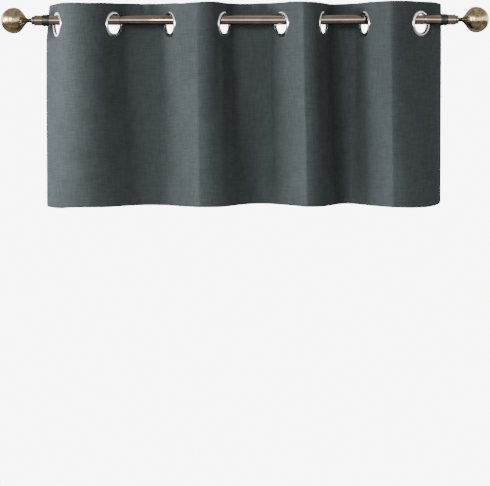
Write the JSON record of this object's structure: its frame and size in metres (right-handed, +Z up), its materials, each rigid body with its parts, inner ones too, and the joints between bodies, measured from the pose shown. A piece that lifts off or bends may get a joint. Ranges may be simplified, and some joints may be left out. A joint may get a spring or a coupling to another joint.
{
  "type": "window valance on a curtain rod",
  "caption": "Short eyelet-topped window valance in slate blue-grey cloth, hanging in soft upright folds on a slim aged-brass curtain rod with ball finials.",
  "frame": {"origin": "on the rod's axis at the middle of its length", "axes": "+X along the rod to the right as seen from the front, -Y towards the room, +Z up"},
  "size_m": [1.103, 0.1237, 0.458],
  "materials": {
    "slate_cloth": "matt slubbed plain weave",
    "bright_metal": "bright nickel, slightly worn",
    "antique_brass": "aged brass, satin",
    "dark_steel": "dark, satin"
  },
  "bodies": {
    "root": {"valance_cloth": "slate_cloth", "curtain_rod": "antique_brass", "collar_left": "dark_steel", "collar_right": "dark_steel", "finial_left": "antique_brass", "finial_right": "antique_brass", "eyelet_1_front": "bright_metal", "eyelet_1_back": "bright_metal", "eyelet_2_front": "bright_metal", "eyelet_2_back": "bright_metal", "eyelet_3_front": "bright_metal", "eyelet_3_back": "bright_metal", "eyelet_4_front": "bright_metal", "eyelet_4_back": "bright_metal", "eyelet_5_front": "bright_metal", "eyelet_5_back": "bright_metal", "eyelet_6_front": "bright_metal", "eyelet_6_back": "bright_metal", "eyelet_7_front": "bright_metal", "eyelet_7_back": "bright_metal", "eyelet_8_front": "bright_metal", "eyelet_8_back": "bright_metal"}
  },
  "joints": []
}
